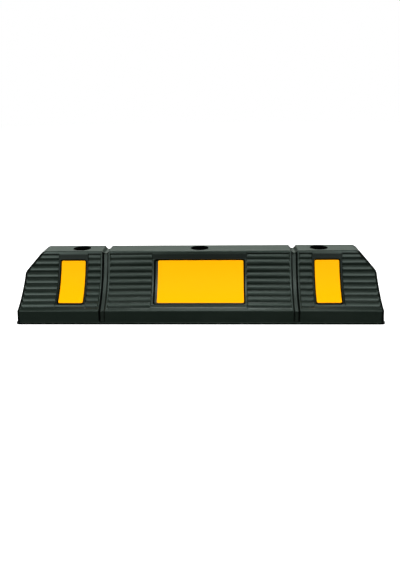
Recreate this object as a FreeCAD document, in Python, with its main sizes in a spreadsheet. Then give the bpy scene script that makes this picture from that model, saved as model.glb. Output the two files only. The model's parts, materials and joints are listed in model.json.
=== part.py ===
"""A parking wheel stop: a moulded rubber body with reflective panels and anchor washers.

Millimetres. X runs along the stop, the front face looks towards -Y, and +Z is up.
The origin is the centre of the base, on the ground.
"""
import FreeCAD
import Part
import os
from math import atan2

import Sketcher

os.makedirs("parts", exist_ok=True)
doc = FreeCAD.newDocument("wheel_stop")

# ---------------------------------------------------------------- driving dimensions
DIMENSIONS = {
    # the moulded body above its flange
    "body_length": 552.5,
    "body_depth": 153.5,
    "body_height": 99.0,
    # the concave front and rear faces are arcs about axes parallel to X
    "face_radius": 123.0,
    "face_axis_offset": 138.0,
    "face_axis_height": 127.65,
    "nose_radius": 2.0,
    "heel_radius": 1.2,
    # the ends lean in a little up to a shoulder, then slope to the top
    "end_lean": 3.6,
    "end_shoulder_height": 68.5,
    "end_shoulder_radius": 13.0,
    "end_top_inset": 30.4,
    "end_top_radius": 12.0,
    # the thin lip left round the foot by the mould
    "flange_width": 2.75,
    "flange_thickness": 3.0,
    "flange_corner": 4.0,
    # the two transverse grooves
    "groove_offset": 147.0,
    "groove_width": 7.5,
    "groove_depth": 5.0,
    # horizontal half-round ribs, laid along the face arc
    "rib_angle": 4.55,
    "rib_radius": 6.2,
    "rib_inset": 0.3,
    "rib_lowest_angle": 55.7,
    "rib_rim": 3.2,
    "rib_end_rim": 4.5,
    # the panels and the recesses they lie in
    "recess_depth": 1.5,
    "recess_low_angle": 54.4,
    "recess_high_angle": 19.55,
    "recess_corner": 3.6,
    "panel_thickness": 0.8,
    "panel_low_angle": 53.65,
    "panel_high_angle": 20.5,
    "panel_corner": 3.0,
    "panel_gap": 1.5,
    "centre_recess_length": 140.6,
    "centre_panel_length": 132.6,
    "centre_panel_shift": 2.0,
    "side_panel_length": 37.6,
    "side_panel_offset": 196.9,
    # anchor holes, stepped to seat a washer
    "anchor_spacing": 187.0,
    "anchor_hole": 14.0,
    "anchor_head_hole": 28.0,
    "anchor_step_height": 60.0,
    "washer_diameter": 24.0,
    "washer_thickness": 2.5,
    "washer_play": 0.3,
    # cells under the body, either side of a middle web
    "cell_length": 38.0,
    "cell_web": 9.0,
    "cell_foot_reach": 57.0,
    "cell_roof_reach": 27.0,
    "cell_height": 46.0,
    "cell_round": 6.0,
}

sizes = doc.addObject("Spreadsheet::Sheet", "sizes")
for row, (alias, number) in enumerate(DIMENSIONS.items(), start=1):
    sizes.set(f"A{row}", alias)
    sizes.set(f"B{row}", str(number))
    sizes.setAlias(f"B{row}", alias)
doc.recompute()

BEYOND = 20.0          # how far a cutting tool stands clear of what it cuts
XY, XZ, YZ = "XY_Plane", "XZ_Plane", "YZ_Plane"


# ---------------------------------------------------------------- sketching helpers
def value(expression):
    """The number that an expression on the sheet comes to."""
    result = sizes.evalExpression(expression)
    return float(getattr(result, "Value", result))


def new_body(label):
    body = doc.addObject("PartDesign::Body", label)
    body.Label = label
    return body


def new_sketch(body, name, plane, offset=None):
    """A sketch on one of the body's origin planes, moved along its normal by an expression."""
    sketch = body.newObject("Sketcher::SketchObject", name)
    support = [p for p in body.Origin.OriginFeatures if p.Role == plane][0]
    sketch.AttachmentSupport = [(support, "")]
    sketch.MapMode = "FlatFace"
    if offset is not None:
        sketch.AttachmentOffset.Base.z = value(offset)
        sketch.setExpression("AttachmentOffset.Base.z", offset)
    return sketch


def pin_point(sketch, geometry, end, across, up):
    """Binds one point of a sketch to two expressions, from the sketch's origin."""
    for kind, expression in (("DistanceX", across), ("DistanceY", up)):
        index = sketch.addConstraint(
            Sketcher.Constraint(kind, -1, 1, geometry, end, value(expression)))
        sketch.setExpression(f"Constraints[{index}]", expression)


def vector(point):
    return FreeCAD.Vector(value(point[0]), value(point[1]), 0)


def arc_between(start, stop, radius, turn):
    """The arc of that radius from start to stop, under half a circle. It runs anticlockwise
    where turn is +1. The second result says which of its own ends is start."""
    chord = stop - start
    left = FreeCAD.Vector(-chord.y, chord.x, 0).normalize()
    rise = (radius ** 2 - (chord.Length / 2) ** 2) ** 0.5
    centre = (start + stop) / 2 + left * rise * turn
    angles = [atan2(end.y - centre.y, end.x - centre.x) for end in (start, stop)]
    ring = Part.Circle(centre, FreeCAD.Vector(0, 0, 1), radius)
    if turn > 0:
        return Part.ArcOfCircle(ring, angles[0], angles[1]), (1, 2)
    return Part.ArcOfCircle(ring, angles[1], angles[0]), (2, 1)


def closed_outline(sketch, steps):
    """Draws a closed outline. A step is (across, up) for a straight run to the next point, or
    (across, up, radius, turn) for an arc to it, anticlockwise where turn is +1. Every point
    and radius is bound to its expression."""
    joints = []
    for place, step in enumerate(steps):
        start = vector(step)
        stop = vector(steps[(place + 1) % len(steps)])
        if len(step) == 2:
            index = sketch.addGeometry(Part.LineSegment(start, stop), False)
            joints.append((index, 1, 2))
            continue
        arc, ends = arc_between(start, stop, value(step[2]), step[3])
        index = sketch.addGeometry(arc, False)
        joints.append((index, *ends))
        bound = sketch.addConstraint(Sketcher.Constraint("Radius", index, value(step[2])))
        sketch.setExpression(f"Constraints[{bound}]", step[2])
    for place, (index, begin, _) in enumerate(joints):
        before, _, finish = joints[place - 1]
        sketch.addConstraint(Sketcher.Constraint("Coincident", before, finish, index, begin))
        pin_point(sketch, index, begin, steps[place][0], steps[place][1])


def rectangle(sketch, low_x, high_x, low_y, high_y):
    closed_outline(sketch, [(low_x, low_y), (high_x, low_y), (high_x, high_y), (low_x, high_y)])


def rounded_rectangle(sketch, low_x, high_x, low_y, high_y, radius):
    """A rectangle with its corners rounded, bound to six expressions."""
    in_low_x, in_high_x = f"{low_x} + {radius}", f"{high_x} - {radius}"
    in_low_y, in_high_y = f"{low_y} + {radius}", f"{high_y} - {radius}"
    closed_outline(sketch, [
        (in_low_x, low_y),
        (in_high_x, low_y, radius, 1),
        (high_x, in_low_y),
        (high_x, in_high_y, radius, 1),
        (in_high_x, high_y),
        (in_low_x, high_y, radius, 1),
        (low_x, in_high_y),
        (low_x, in_low_y, radius, 1),
    ])


def circle(sketch, across, up, diameter):
    index = sketch.addGeometry(Part.Circle(vector((across, up)), FreeCAD.Vector(0, 0, 1),
                                           value(diameter) / 2), False)
    pin_point(sketch, index, 3, across, up)
    bound = sketch.addConstraint(Sketcher.Constraint("Diameter", index, value(diameter)))
    sketch.setExpression(f"Constraints[{bound}]", diameter)


def pad(body, name, sketch, length, midplane=False, reverse=False):
    feature = body.newObject("PartDesign::Pad", name)
    feature.Profile = sketch
    feature.setExpression("Length", length)
    feature.Midplane = midplane
    feature.Reversed = reverse
    return feature


def pocket(body, name, sketch, length, midplane=False, reverse=False):
    """Cuts the sketch out of the body, and makes sure that it took something away."""
    doc.recompute()
    before = body.Shape.Volume
    feature = body.newObject("PartDesign::Pocket", name)
    feature.Profile = sketch
    feature.setExpression("Length", length)
    feature.Midplane = midplane
    feature.Reversed = reverse
    doc.recompute()
    assert body.Shape.Volume < before - 1, f"{name} cut nothing"
    return feature


# ---------------------------------------------------------------- the face arc
def face_point(side, radius, angle):
    """The point at an angle below the horizontal on an arc about a face's axis.
    side is "-" on the front and "" on the rear; radius and angle are expressions."""
    reach = f"(sizes.face_axis_offset - ({radius}) * cos({angle}))"
    return f"{side}{reach}", f"sizes.face_axis_height - ({radius}) * sin({angle})"


def arc_step(side, radius, angle, rising):
    """A step of an outline that starts on a face arc and follows it. The arc turns
    anticlockwise about its axis where it rises on the front or falls on the rear."""
    turn = 1 if rising == (side == "-") else -1
    return (*face_point(side, radius, angle), radius, turn)


def band_section(sketch, side, inner, outer, low_angle, high_angle):
    """A curved strip between two arcs about a face's axis, from one angle to another."""
    closed_outline(sketch, [
        arc_step(side, inner, low_angle, rising=True),
        face_point(side, inner, high_angle),
        arc_step(side, outer, high_angle, rising=False),
        face_point(side, outer, low_angle),
    ])


def face_height(angle, radius="sizes.face_radius"):
    """The height of the face at an angle below the horizontal."""
    return f"(sizes.face_axis_height - {radius} * sin({angle}))"


HALF_LENGTH = "sizes.body_length / 2"
HALF_DEPTH = "sizes.body_depth / 2"
SKIRT_HEIGHT = ("(sizes.face_axis_height - sqrt(sizes.face_radius ^ 2"
                f" - (sizes.face_axis_offset - {HALF_DEPTH}) ^ 2))")


# ---------------------------------------------------------------- rubber body
def draw_section(sketch):
    """The body's cross-section: upright skirts, concave faces and a flat top."""
    top_reach = ("(sizes.face_axis_offset - sqrt(sizes.face_radius ^ 2"
                 " - (sizes.face_axis_height - sizes.body_height) ^ 2))")
    closed_outline(sketch, [
        (f"-{HALF_DEPTH}", "0"),
        (HALF_DEPTH, "0"),
        (HALF_DEPTH, SKIRT_HEIGHT, "sizes.face_radius", -1),
        (top_reach, "sizes.body_height"),
        (f"-{top_reach}", "sizes.body_height", "sizes.face_radius", -1),
        (f"-{HALF_DEPTH}", SKIRT_HEIGHT),
    ])


def long_edges(shape, height):
    """The names of the full-length edges at a height, front and rear."""
    return [f"Edge{n}" for n, edge in enumerate(shape.Edges, start=1)
            if edge.Length > 0.9 * value("sizes.body_length")
            and abs(edge.BoundBox.ZMin - height) < 0.1 and abs(edge.BoundBox.ZMax - height) < 0.1
            and abs(edge.CenterOfMass.y) > 1]


def round_edges(body, name, edges, radius):
    solid = body.Tip
    fillet = body.newObject("PartDesign::Fillet", name)
    fillet.Base = (solid, edges)
    fillet.Radius = value(radius)
    fillet.setExpression("Radius", radius)
    doc.recompute()


LEAN = f"atan(sizes.end_lean / (sizes.end_shoulder_height - {SKIRT_HEIGHT}))"
SLOPE = ("atan((sizes.end_top_inset - sizes.end_lean)"
         " / (sizes.body_height - sizes.end_shoulder_height))")


def end_outline(sign):
    """What lies outside one sloping end, seen from the front. It leans in to the shoulder,
    slopes to the top, and both corners are rounded."""
    turn = -1 if sign else 1
    run_in = f"sizes.end_shoulder_radius * tan(({SLOPE} - {LEAN}) / 2)"
    run_out = f"sizes.end_top_radius * tan((90 deg - {SLOPE}) / 2)"
    shoulder = f"{HALF_LENGTH} - sizes.end_lean"
    top = f"{HALF_LENGTH} - sizes.end_top_inset"
    clear = f"{sign}({HALF_LENGTH} + {BEYOND})"
    roof = f"sizes.body_height + {BEYOND}"
    return [
        (f"{sign}({HALF_LENGTH})", SKIRT_HEIGHT),
        (f"{sign}({shoulder} + {run_in} * sin({LEAN}))",
         f"sizes.end_shoulder_height - {run_in} * cos({LEAN})", "sizes.end_shoulder_radius", turn),
        (f"{sign}({shoulder} - {run_in} * sin({SLOPE}))",
         f"sizes.end_shoulder_height + {run_in} * cos({SLOPE})"),
        (f"{sign}({top} + {run_out} * sin({SLOPE}))",
         f"sizes.body_height - {run_out} * cos({SLOPE})", "sizes.end_top_radius", turn),
        (f"{sign}({top} - {run_out})", "sizes.body_height"),
        (f"{sign}({top} - {run_out})", roof),
        (clear, roof),
        (clear, SKIRT_HEIGHT),
    ]


def trim_ends(body):
    sketch = new_sketch(body, "end_slopes", XZ)
    for sign in ("", "-"):
        closed_outline(sketch, end_outline(sign))
    pocket(body, "end_trim", sketch, "sizes.body_depth * 2", midplane=True)


def add_flange(body):
    sketch = new_sketch(body, "flange_outline", XY)
    reach = f"({HALF_LENGTH} + sizes.flange_width)"
    half = f"({HALF_DEPTH} + sizes.flange_width)"
    rounded_rectangle(sketch, f"-{reach}", reach, f"-{half}", half, "sizes.flange_corner")
    pad(body, "flange", sketch, "sizes.flange_thickness")
    doc.recompute()


def cut_groove(body, sign, name):
    """A groove of even depth up the front skirt, over the top and down the rear."""
    sketch = new_sketch(body, f"{name}_section", YZ, offset=f"{sign}sizes.groove_offset")
    floor_radius = "sizes.face_radius + sizes.groove_depth"
    skirt = f"({HALF_DEPTH} - sizes.groove_depth)"
    turn_up = ("(sizes.face_axis_height - sqrt((sizes.face_radius + sizes.groove_depth) ^ 2"
               f" - (sizes.face_axis_offset - {skirt}) ^ 2))")
    top = "(sizes.body_height - sizes.groove_depth)"
    turn_in = ("(sizes.face_axis_offset - sqrt((sizes.face_radius + sizes.groove_depth) ^ 2"
               f" - (sizes.face_axis_height - {top}) ^ 2))")
    clear = f"({HALF_DEPTH} + {BEYOND})"
    roof = f"(sizes.body_height + {BEYOND})"
    closed_outline(sketch, [
        (f"-{skirt}", "sizes.flange_thickness"),
        (f"-{skirt}", turn_up, floor_radius, 1),
        (f"-{turn_in}", top),
        (turn_in, top, floor_radius, 1),
        (skirt, turn_up),
        (skirt, "sizes.flange_thickness"),
        (clear, "sizes.flange_thickness"),
        (clear, roof),
        (f"-{clear}", roof),
        (f"-{clear}", "sizes.flange_thickness"),
    ])
    pocket(body, name, sketch, "sizes.groove_width", midplane=True)


def keep_outlines(body, name, draw_outlines):
    """Trims a tool to outlines seen from the front, by cutting away all that is round them."""
    sketch = new_sketch(body, f"{name}_outlines", XZ)
    wide = f"({HALF_LENGTH} + {2 * BEYOND})"
    rectangle(sketch, f"-{wide}", wide, f"-{2 * BEYOND}", f"sizes.body_height + {2 * BEYOND}")
    draw_outlines(sketch)
    pocket(body, f"{name}_trim", sketch, "sizes.body_depth * 3", midplane=True)


RIB_COUNT = 8          # full ribs between the toe band and the narrow band under the top


def rib_valley(place):
    """The angle of a valley, counted up from the lowest."""
    return f"(sizes.rib_lowest_angle - {place} * sizes.rib_angle) * 1 deg"


def draw_rib_gaps(sketch, side):
    """What is missing round the ribs: a strip outside the face whose inner side is a row of
    half-round ribs with sharp valleys between them."""
    clear = "(sizes.face_radius - 12)"
    half_pitch = ("((sizes.face_radius + sizes.rib_inset + sizes.rib_radius)"
                  " * sin(sizes.rib_angle * 0.5 deg))")
    valley_radius = ("((sizes.face_radius + sizes.rib_inset + sizes.rib_radius)"
                     " * cos(sizes.rib_angle * 0.5 deg)"
                     f" - sqrt(sizes.rib_radius ^ 2 - {half_pitch} ^ 2))")
    turn = -1 if side == "-" else 1
    steps = []
    for place in range(RIB_COUNT):
        steps.append((*face_point(side, valley_radius, rib_valley(place)), "sizes.rib_radius", turn))
    steps.append(face_point(side, valley_radius, rib_valley(RIB_COUNT)))
    steps.append(face_point(side, "(sizes.face_radius + sizes.rib_inset)",
                            rib_valley(RIB_COUNT + 0.5)))
    steps.append(arc_step(side, clear, rib_valley(RIB_COUNT + 0.5), rising=False))
    steps.append(face_point(side, clear, rib_valley(-0.5)))
    steps.append(face_point(side, "(sizes.face_radius + sizes.rib_inset)", rib_valley(-0.5)))
    closed_outline(sketch, steps)


def panel_span(length, offset, gap):
    """The two ends of a recess or panel along X, as expressions."""
    return f"({offset} - ({length}) / 2 - {gap})", f"({offset} + ({length}) / 2 + {gap})"


CENTRE_RECESS = panel_span("sizes.centre_recess_length", "0", "0")
SIDE_RECESS = panel_span("sizes.side_panel_length", "sizes.side_panel_offset", "sizes.panel_gap")
RECESS_FOOT = face_height("sizes.recess_low_angle * 1 deg")
RECESS_HEAD = face_height("sizes.recess_high_angle * 1 deg")
PANEL_FOOT = face_height("sizes.panel_low_angle * 1 deg")
PANEL_HEAD = face_height("sizes.panel_high_angle * 1 deg")


def draw_rib_fields(sketch):
    """The ribbed fields of the three segments, each a U round its panel, seen from the front."""
    low = f"-{BEYOND}"
    high = f"sizes.body_height + {BEYOND}"
    sill = f"({RECESS_FOOT} - sizes.rib_rim / 2)"
    inner = "(sizes.groove_offset - sizes.groove_width / 2 - sizes.rib_rim)"
    outer = "(sizes.groove_offset + sizes.groove_width / 2 + sizes.rib_rim)"
    jamb = f"({CENTRE_RECESS[1]} + sizes.rib_rim)"
    closed_outline(sketch, [
        (f"-{inner}", low), (inner, low), (inner, high), (jamb, high),
        (jamb, sill), (f"-{jamb}", sill), (f"-{jamb}", high), (f"-{inner}", high)])
    near = f"({SIDE_RECESS[0]} - sizes.rib_rim)"
    far = f"({SIDE_RECESS[1]} + sizes.rib_rim)"
    edge = f"({HALF_LENGTH} - sizes.rib_end_rim)"
    for sign in ("", "-"):
        closed_outline(sketch, [
            (f"{sign}{outer}", low),
            (f"{sign}{edge}", low),
            (f"{sign}{edge}", face_height("60 deg")),
            (f"{sign}({edge} - sizes.end_lean)", "sizes.end_shoulder_height - 1"),
            (f"{sign}({edge} - sizes.end_top_inset)", "sizes.body_height - 1"),
            (f"{sign}({edge} - sizes.end_top_inset)", high),
            (f"{sign}{far}", high),
            (f"{sign}{far}", sill),
            (f"{sign}{near}", sill),
            (f"{sign}{near}", high),
            (f"{sign}{outer}", high),
        ])


def rib_tool():
    body = new_body("rib_gaps")
    sketch = new_sketch(body, "rib_gap_section", YZ)
    for side in ("-", ""):
        draw_rib_gaps(sketch, side)
    pad(body, "rib_gap_strips", sketch, "sizes.body_length", midplane=True)
    keep_outlines(body, "rib_field", draw_rib_fields)
    return body


def draw_recess_outlines(sketch):
    for low_x, high_x in (CENTRE_RECESS, SIDE_RECESS, [f"-{x}" for x in reversed(SIDE_RECESS)]):
        rounded_rectangle(sketch, low_x, high_x, RECESS_FOOT, RECESS_HEAD, "sizes.recess_corner")


def recess_tool():
    body = new_body("panel_recesses")
    sketch = new_sketch(body, "recess_section", YZ)
    for side in ("-", ""):
        band_section(sketch, side, "(sizes.face_radius + sizes.recess_depth)",
                     "(sizes.face_radius - 12)", "60 deg", "14 deg")
    pad(body, "recess_strips", sketch, "sizes.body_length", midplane=True)
    keep_outlines(body, "recess", draw_recess_outlines)
    return body


def subtract(body, name, tool):
    doc.recompute()
    before = body.Shape.Volume
    boolean = body.newObject("PartDesign::Boolean", name)
    boolean.Type = "Cut"
    boolean.setObjects([tool])
    body.Tip = boolean
    doc.recompute()
    assert body.Shape.Volume < before - 1, f"{name} cut nothing"


ANCHOR_PLACES = {"left": "-sizes.anchor_spacing", "centre": "0", "right": "sizes.anchor_spacing"}


WASHER_SEAT = "(sizes.anchor_step_height - sizes.washer_thickness - sizes.washer_play / 2)"


def bore_anchor_holes(body):
    """Holes in three steps: the shank's, a shallow seat for the washer, and the head's."""
    steps = (("anchor_holes", "0", "sizes.anchor_hole"),
             ("washer_seats", WASHER_SEAT, "sizes.washer_diameter + 2 * sizes.washer_play"),
             ("anchor_head_holes", "sizes.anchor_step_height", "sizes.anchor_head_hole"))
    for name, foot, diameter in steps:
        sketch = new_sketch(body, f"{name}_circles", XY, offset=foot)
        for across in ANCHOR_PLACES.values():
            circle(sketch, across, "0", diameter)
        pocket(body, name, sketch, "sizes.body_height", reverse=True)


CELL_PLACES = (1, 2, 3, 5)     # quarters of the anchor spacing; 0 and 4 carry the anchors


def hollow_underside(body):
    """Tapering cells between webs, two rows of them, clear of the anchors."""
    for place in CELL_PLACES:
        for sign, end in (("", "right"), ("-", "left")):
            across = f"{sign}{place} * sizes.anchor_spacing / 4"
            sketch = new_sketch(body, f"cell_section_{end}_{place}", YZ, offset=across)
            for side in ("", "-"):
                closed_outline(sketch, [
                    (f"{side}(sizes.cell_web / 2)", f"-{BEYOND}"),
                    (f"{side}sizes.cell_foot_reach", f"-{BEYOND}"),
                    (f"{side}sizes.cell_foot_reach", "sizes.flange_thickness * 3"),
                    (f"{side}sizes.cell_roof_reach", "sizes.cell_height"),
                    (f"{side}(sizes.cell_web / 2 + sizes.cell_round)", "sizes.cell_height"),
                    (f"{side}(sizes.cell_web / 2)", "sizes.cell_height - sizes.cell_round"),
                ])
            pocket(body, f"cells_{end}_{place}", sketch, "sizes.cell_length", midplane=True)


def rubber_body():
    body = new_body("rubber_body")
    section = new_sketch(body, "section", YZ)
    draw_section(section)
    pad(body, "section_bar", section, "sizes.body_length", midplane=True)
    doc.recompute()
    for name, height, radius in (("nose_rounding", "sizes.body_height", "sizes.nose_radius"),
                                 ("heel_rounding", SKIRT_HEIGHT, "sizes.heel_radius")):
        round_edges(body, name, long_edges(body.Shape, value(height)), radius)
    trim_ends(body)
    add_flange(body)
    cut_groove(body, "", "groove_right")
    cut_groove(body, "-", "groove_left")
    subtract(body, "ribbed_faces", rib_tool())
    subtract(body, "panel_seats", recess_tool())
    bore_anchor_holes(body)
    hollow_underside(body)
    return body


# ---------------------------------------------------------------- reflective panels
def reflector(label, side, low_x, high_x):
    """A thin curved panel that lies on the floor of its recess."""
    body = new_body(label)
    section = new_sketch(body, f"{label}_section", YZ)
    floor = "(sizes.face_radius + sizes.recess_depth)"
    band_section(section, side, floor, f"({floor} - sizes.panel_thickness)", "60 deg", "14 deg")
    pad(body, f"{label}_strip", section, "sizes.body_length", midplane=True)

    def outline(sketch):
        rounded_rectangle(sketch, low_x, high_x, PANEL_FOOT, PANEL_HEAD, "sizes.panel_corner")

    keep_outlines(body, label, outline)
    return body


def reflectors():
    bodies = []
    for face, side in (("front", "-"), ("rear", "")):
        shift = "sizes.centre_panel_shift" if face == "front" else "-sizes.centre_panel_shift"
        centre = panel_span("sizes.centre_panel_length", shift, "0")
        near, far = panel_span("sizes.side_panel_length", "sizes.side_panel_offset", "0")
        bodies.append(reflector(f"{face}_centre_reflector", side, *centre))
        bodies.append(reflector(f"{face}_right_reflector", side, near, far))
        bodies.append(reflector(f"{face}_left_reflector", side, f"-{far}", f"-{near}"))
    return bodies


# ---------------------------------------------------------------- anchor washers
def washer(end, across):
    """A steel washer in its seat in one anchor hole, under the anchor's head."""
    body = new_body(f"{end}_anchor_washer")
    ring = new_sketch(body, f"{end}_washer_ring", XY)
    circle(ring, "0", "0", "sizes.washer_diameter")
    circle(ring, "0", "0", "sizes.anchor_hole")
    pad(body, f"{end}_washer_disc", ring, "sizes.washer_thickness")
    body.setExpression("Placement.Base.x", across)
    body.setExpression("Placement.Base.z", WASHER_SEAT)
    return body


# ---------------------------------------------------------------- build, check and write
def check(bodies):
    """Stops the build if any object failed, or a sub-part isn't one sound solid."""
    doc.recompute()
    for item in doc.Objects:
        assert "Invalid" not in item.State and "Error" not in item.State, item.Label
    for body in bodies:
        shape = body.Shape
        assert not shape.isNull() and shape.isValid(), body.Label
        assert len(shape.Solids) == 1, f"{body.Label} has {len(shape.Solids)} solids"
        box = shape.BoundBox
        print(f"{body.Label:26s} {box.XLength:7.2f} {box.YLength:7.2f} {box.ZLength:7.2f} mm"
              f"  {shape.Volume / 1000:9.2f} cm3")


sub_parts = [rubber_body(), *reflectors()]
sub_parts += [washer(end, across) for end, across in ANCHOR_PLACES.items()]
check(sub_parts)
for sub_part in sub_parts:
    sub_part.Shape.exportStep(f"parts/{sub_part.Label}.step")
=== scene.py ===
"""A parking wheel stop as it looks: a moulded rubber body, reflective panels and steel washers.

Metres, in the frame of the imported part: X along the stop, the front towards -Y, +Z up.
"""
import json
from math import acos, asin, atan2, ceil, cos, pi, radians, sin, sqrt, tan

import bmesh
import bpy
from mathutils import Matrix, Vector

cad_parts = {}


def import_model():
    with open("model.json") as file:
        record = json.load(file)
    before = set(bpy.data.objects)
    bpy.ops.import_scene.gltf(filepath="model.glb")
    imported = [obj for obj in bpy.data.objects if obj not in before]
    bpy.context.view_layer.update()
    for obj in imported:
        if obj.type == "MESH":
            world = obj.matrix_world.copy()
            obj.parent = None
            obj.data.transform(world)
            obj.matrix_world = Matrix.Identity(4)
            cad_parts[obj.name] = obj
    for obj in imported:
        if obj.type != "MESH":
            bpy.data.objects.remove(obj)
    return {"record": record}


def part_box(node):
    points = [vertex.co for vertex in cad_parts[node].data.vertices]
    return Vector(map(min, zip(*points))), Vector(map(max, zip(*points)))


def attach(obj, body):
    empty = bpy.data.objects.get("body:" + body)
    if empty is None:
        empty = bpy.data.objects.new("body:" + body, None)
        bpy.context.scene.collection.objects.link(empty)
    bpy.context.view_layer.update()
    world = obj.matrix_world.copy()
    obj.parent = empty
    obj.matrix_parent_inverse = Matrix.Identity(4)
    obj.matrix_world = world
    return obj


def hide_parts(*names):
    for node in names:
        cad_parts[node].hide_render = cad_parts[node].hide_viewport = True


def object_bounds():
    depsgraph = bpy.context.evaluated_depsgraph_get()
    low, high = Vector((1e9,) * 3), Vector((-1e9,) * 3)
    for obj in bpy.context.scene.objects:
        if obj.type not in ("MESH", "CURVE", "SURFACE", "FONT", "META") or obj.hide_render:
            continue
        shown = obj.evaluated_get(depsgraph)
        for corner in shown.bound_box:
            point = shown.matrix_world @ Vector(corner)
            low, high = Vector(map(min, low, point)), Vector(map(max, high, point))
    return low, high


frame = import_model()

CAD_BOX = [list(corner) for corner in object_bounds()]
MM = 0.001

# ---------------------------------------------------------------- the moulding's own sizes
LENGTH = 552.5 * MM              # above the flange
DEPTH = 153.5 * MM
HEIGHT = CAD_BOX[1][2]
FACE_RADIUS = 123 * MM           # the concave faces are arcs about axes along X
FACE_AXIS_OUT = 138 * MM
FACE_AXIS_UP = 127.65 * MM
HEEL_RADIUS = 1.2 * MM
NOSE_RADIUS = 2 * MM
SINK_RADIUS = 6.5 * MM            # more than the grooves are deep
SKIRT_DRAFT = 1.2 * MM           # how far the skirt flares out to its foot
FLANGE_THICKNESS = 3 * MM
FLANGE_WIDTH = CAD_BOX[1][0] - LENGTH / 2

END_LEAN = 3.6 * MM
END_SHOULDER = 68.5 * MM
END_SHOULDER_RADIUS = 13 * MM
END_TOP_INSET = 30.4 * MM
END_TOP_RADIUS = 12 * MM
END_EDGE_RADIUS = 3.1 * MM
END_RIM = 8 * MM                 # the strip along each end that keeps its width up the slope
SQUARE_PART = 220 * MM           # the half length that the sloping ends leave as it is

GROOVE_OFFSET = 147 * MM
GROOVE_FLOOR = 4.6 * MM
GROOVE_MOUTH = 10.4 * MM
GROOVE_DEPTH = 5 * MM
GROOVE_TOP_FLOOR = 1.8 * MM      # on the top the floor is narrower and the mouth wider
GROOVE_TOP_MOUTH = 13 * MM

RIB_COUNT = 8
RIB_PITCH = 9.76 * MM
RIB_RADIUS = 6.2 * MM
RIB_INSET = 0.3 * MM
LOWEST_VALLEY = 9.2 * MM         # along the face, up from the heel
HIGHEST_VALLEY = LOWEST_VALLEY + RIB_COUNT * RIB_PITCH
TOP_BAND = 7.5 * MM              # the narrow band between the highest valley and the nose
TOP_BAND_INSET = 1.1 * MM
RIB_FADE = 0.8 * MM              # half the width of the wall at a rib's end
RIB_FIELDS = ((73.5 * MM, 139.0 * MM), (154.2 * MM, 173.6 * MM), (220.2 * MM, 272.2 * MM))
SILL_HEIGHT = 1.7 * MM           # of the lowest rib's foot that runs on under the recesses
SILL_SHARE = 0.45                # of a rib's depth

RECESS_DEPTH = 1.5 * MM
RECESS_CORNER = 3.6 * MM
RECESS_WALL = 0.3 * MM           # half the width of its wall
CHANNEL_WIDTH = 2.2 * MM         # round the edge of a recess's floor
CHANNEL_DEPTH = 1.6 * MM
RECESS_FOOT = 12.3 * MM
RECESS_HEAD = 87.11 * MM
CENTRE_RECESS = 70.3 * MM        # half its length
PANEL_GAP = 1.5 * MM
PANEL_CORNER = 2.2 * MM
PANEL_THICKNESS = 0.8 * MM
PANEL_ROLL = 0.9 * MM            # how far in from its edge a panel rounds over

UNDERCUT = 0.3 * MM              # of the flange, at its foot
UNEVENNESS = 0.1 * MM            # of the moulded surface
HOLE_RIM = 0.35 * MM             # the width of the bevel round each cut edge
WASHER_CLEARANCE = 0.3 * MM
OVERCUT = 5 * MM                 # how far the cutters reach past the surface

# How strongly shade is painted on the rubber in those places, from 0 to 1: near black, without
# reflections, and rougher.
PAINTED_SHADE_ENDS = 0.85
PAINTED_SHADE_HEADER = 0.65
PAINTED_SHADE_SIDES = 0.62

HEEL_ANGLE = acos((FACE_AXIS_OUT - DEPTH / 2) / FACE_RADIUS)
NOSE_ANGLE = asin((FACE_AXIS_UP - HEIGHT) / FACE_RADIUS)
SKIRT_HEIGHT = FACE_AXIS_UP - FACE_RADIUS * sin(HEEL_ANGLE)
TOP_HALF = FACE_AXIS_OUT - FACE_RADIUS * cos(NOSE_ANGLE)
FACE_LENGTH = FACE_RADIUS * (HEEL_ANGLE - NOSE_ANGLE)


# ---------------------------------------------------------------- the section's outline
# A place on the outline is its reach: how far up the front it lies, measured from the
# corner of skirt and face. It is below 0 on the skirt and above FACE_LENGTH on the top.
def heel(radius):
    """A rounding of the corner of skirt and face: its centre, how far it turns, and the
    reaches where it starts and stops."""
    centre = (DEPTH / 2 - radius,
              FACE_AXIS_UP - sqrt((FACE_RADIUS + radius) ** 2
                                  - (FACE_AXIS_OUT - DEPTH / 2 + radius) ** 2))
    turn = atan2(FACE_AXIS_UP - centre[1], FACE_AXIS_OUT - centre[0])
    return centre, turn, (centre[1] - SKIRT_HEIGHT, FACE_RADIUS * (HEEL_ANGLE - turn))


def nose(radius):
    """The same for the corner of face and top."""
    centre = (FACE_AXIS_OUT - sqrt((FACE_RADIUS + radius) ** 2
                                   - (FACE_AXIS_UP - HEIGHT + radius) ** 2),
              HEIGHT - radius)
    turn = atan2(FACE_AXIS_UP - centre[1], FACE_AXIS_OUT - centre[0])
    return centre, turn, (FACE_RADIUS * (HEEL_ANGLE - turn), FACE_LENGTH + TOP_HALF - centre[0])


HEEL_CENTRE, HEEL_TURN, HEEL_REACH = heel(HEEL_RADIUS)
NOSE_CENTRE, NOSE_TURN, NOSE_REACH = nose(NOSE_RADIUS)
CREST_REACH = FACE_LENGTH + TOP_HALF


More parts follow.
